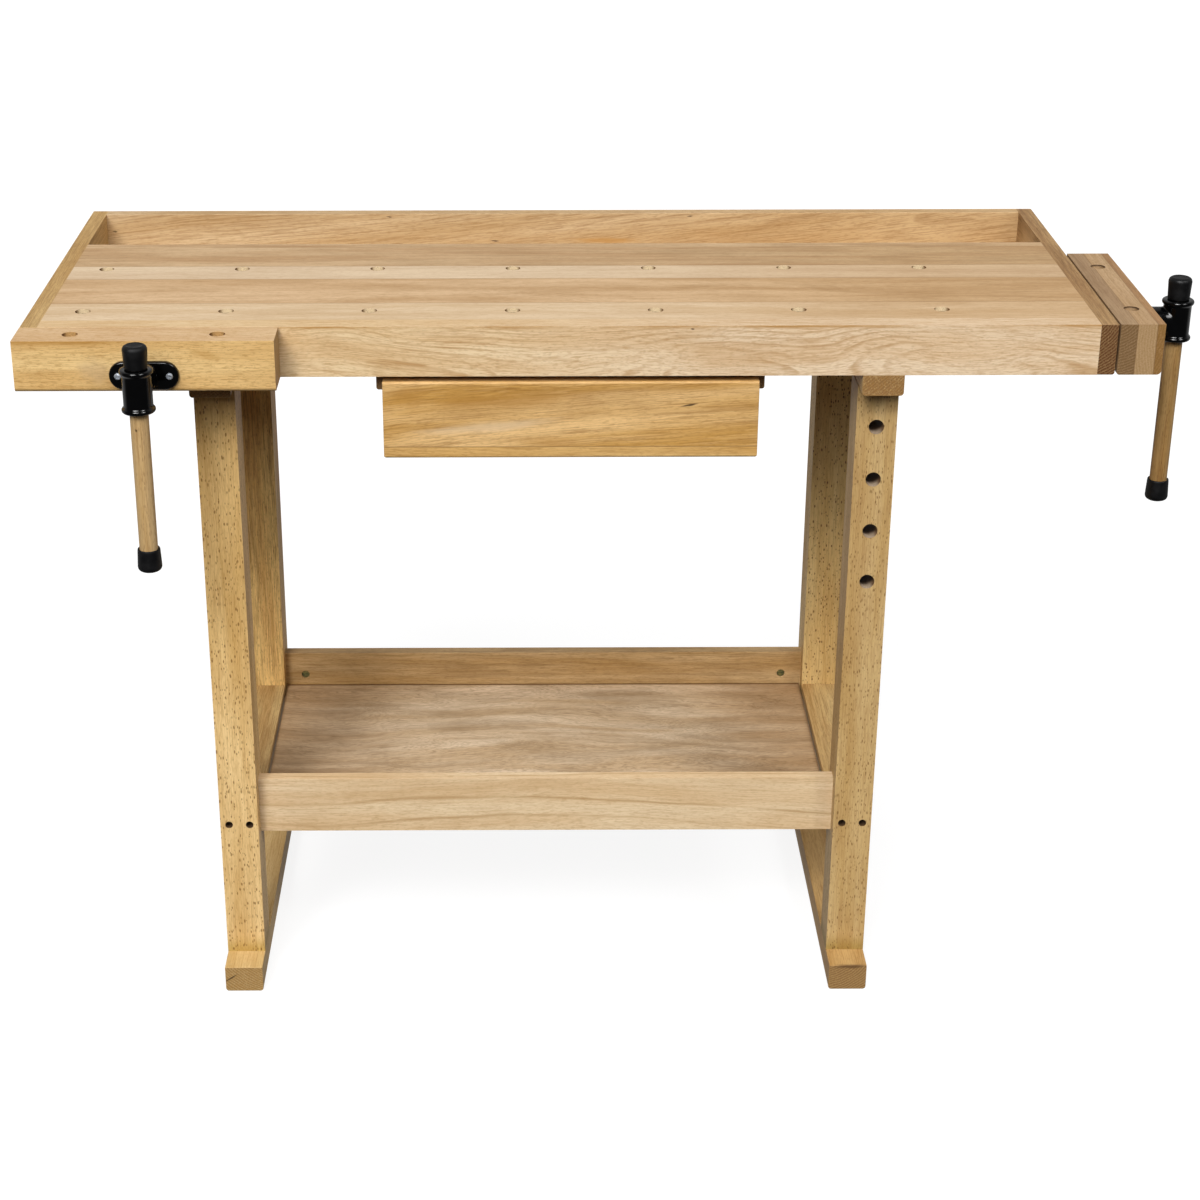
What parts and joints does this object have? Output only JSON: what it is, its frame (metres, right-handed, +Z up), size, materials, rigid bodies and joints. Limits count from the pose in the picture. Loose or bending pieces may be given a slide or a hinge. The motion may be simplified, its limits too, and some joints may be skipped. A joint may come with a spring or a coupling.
{
  "type": "woodworking bench with vises",
  "caption": "Wooden workbench on two trestles with a tool tray, dog holes, a drawer and a low shelf, and a front vise and a tail vise with wooden jaws and sliding bar handles.",
  "frame": {"origin": "on the floor, at the middle of the overall length and depth", "axes": "+X along the bench towards the tail vise, +Y from front to back, +Z up"},
  "size_m": [1.3748, 0.6348, 0.9008],
  "materials": {
    "top_wood": "satin oiled",
    "cap_wood": "satin oiled",
    "jaw_wood": "satin oiled",
    "leg_wood": "satin oiled",
    "shelf_wood": "satin oiled",
    "drawer_wood": "satin oiled",
    "dowel_wood": "plain",
    "plywood": "plain",
    "black_enamel": "gloss black enamel on iron",
    "black_rubber": "matte",
    "zinc": "zinc plated",
    "yellow_zinc": "yellow zinc plated",
    "bright_steel": "plain steel",
    "cast_iron": "black painted casting"
  },
  "bodies": {
    "bench": {"worktop_slab": "top_wood", "front_apron": "top_wood", "tray_front_rail": "top_wood", "rear_rail": "top_wood", "left_end_cap": "cap_wood", "right_end_cap": "cap_wood", "tray_floor": "plywood", "left_front_leg": "leg_wood", "left_rear_leg": "leg_wood", "left_foot": "leg_wood", "left_bearer": "leg_wood", "left_stretcher": "leg_wood", "right_front_leg": "leg_wood", "right_rear_leg": "leg_wood", "right_foot": "leg_wood", "right_bearer": "leg_wood", "right_stretcher": "leg_wood", "shelf_front_board": "shelf_wood", "shelf_back_board": "shelf_wood", "shelf_plate": "plywood", "shelf_front_left_barrel_nut": "yellow_zinc", "shelf_front_right_barrel_nut": "yellow_zinc", "shelf_back_left_barrel_nut": "yellow_zinc", "shelf_back_right_barrel_nut": "yellow_zinc", "shelf_front_left_bolt": "zinc", "shelf_front_right_bolt": "zinc", "shelf_back_left_bolt": "zinc", "shelf_back_right_bolt": "zinc", "left_runner": "drawer_wood", "right_runner": "drawer_wood", "front_guide_casting": "cast_iron", "tail_guide_casting": "cast_iron"},
    "drawer": {"drawer_front": "drawer_wood", "drawer_left_side": "drawer_wood", "drawer_right_side": "drawer_wood", "drawer_back": "drawer_wood", "drawer_bottom": "plywood"},
    "front_jaw": {"front_jaw": "jaw_wood", "front_escutcheon": "black_enamel", "front_escutcheon_screw_1": "zinc", "front_escutcheon_screw_2": "zinc", "front_guide_rod_1": "bright_steel", "front_guide_rod_2": "bright_steel"},
    "front_screw": {"front_screw_spindle": "bright_steel", "front_hub": "black_enamel"},
    "front_handle": {"front_handle_dowel": "dowel_wood", "front_handle_upper_cap": "black_rubber", "front_handle_lower_cap": "black_rubber"},
    "tail_jaw": {"tail_jaw": "jaw_wood", "tail_escutcheon": "black_enamel", "tail_escutcheon_screw_1": "zinc", "tail_escutcheon_screw_2": "zinc", "tail_guide_rod_1": "bright_steel", "tail_guide_rod_2": "bright_steel"},
    "tail_screw": {"tail_screw_spindle": "bright_steel", "tail_hub": "black_enamel"},
    "tail_handle": {"tail_handle_dowel": "dowel_wood", "tail_handle_upper_cap": "black_rubber", "tail_handle_lower_cap": "black_rubber"}
  },
  "joints": [
    {"name": "drawer_slide", "type": "slide", "parent": "bench", "child": "drawer", "axis": [0, -1, 0], "range_m": [0, 0.25]},
    {"name": "front_jaw_slide", "type": "slide", "parent": "bench", "child": "front_jaw", "axis": [0, -1, 0], "range_m": [0, 0.1101]},
    {"name": "front_screw_turn", "type": "hinge", "parent": "front_jaw", "child": "front_screw", "pos_m": [-0.5404, -0.19455, 0.8485], "axis": [0, -1, 0], "range_deg": [0, 7920]},
    {"name": "front_handle_slide", "type": "slide", "parent": "front_screw", "child": "front_handle", "axis": [0, 0, 1], "range_m": [0, 0.163]},
    {"name": "tail_jaw_slide", "type": "slide", "parent": "bench", "child": "tail_jaw", "axis": [1, 0, 0], "range_m": [0, 0.1101]},
    {"name": "tail_screw_turn", "type": "hinge", "parent": "tail_jaw", "child": "tail_screw", "pos_m": [0.5626, -0.04755, 0.8485], "axis": [1, 0, 0], "range_deg": [0, 7920]},
    {"name": "tail_handle_slide", "type": "slide", "parent": "tail_screw", "child": "tail_handle", "axis": [0, 0, 1], "range_m": [0, 0.179]}
  ],
  "couplings": [
    {"joint": "front_jaw_slide", "follows": "front_screw_turn", "m_per_rad": 0.00079577},
    {"joint": "tail_jaw_slide", "follows": "tail_screw_turn", "m_per_rad": 0.00079577}
  ]
}
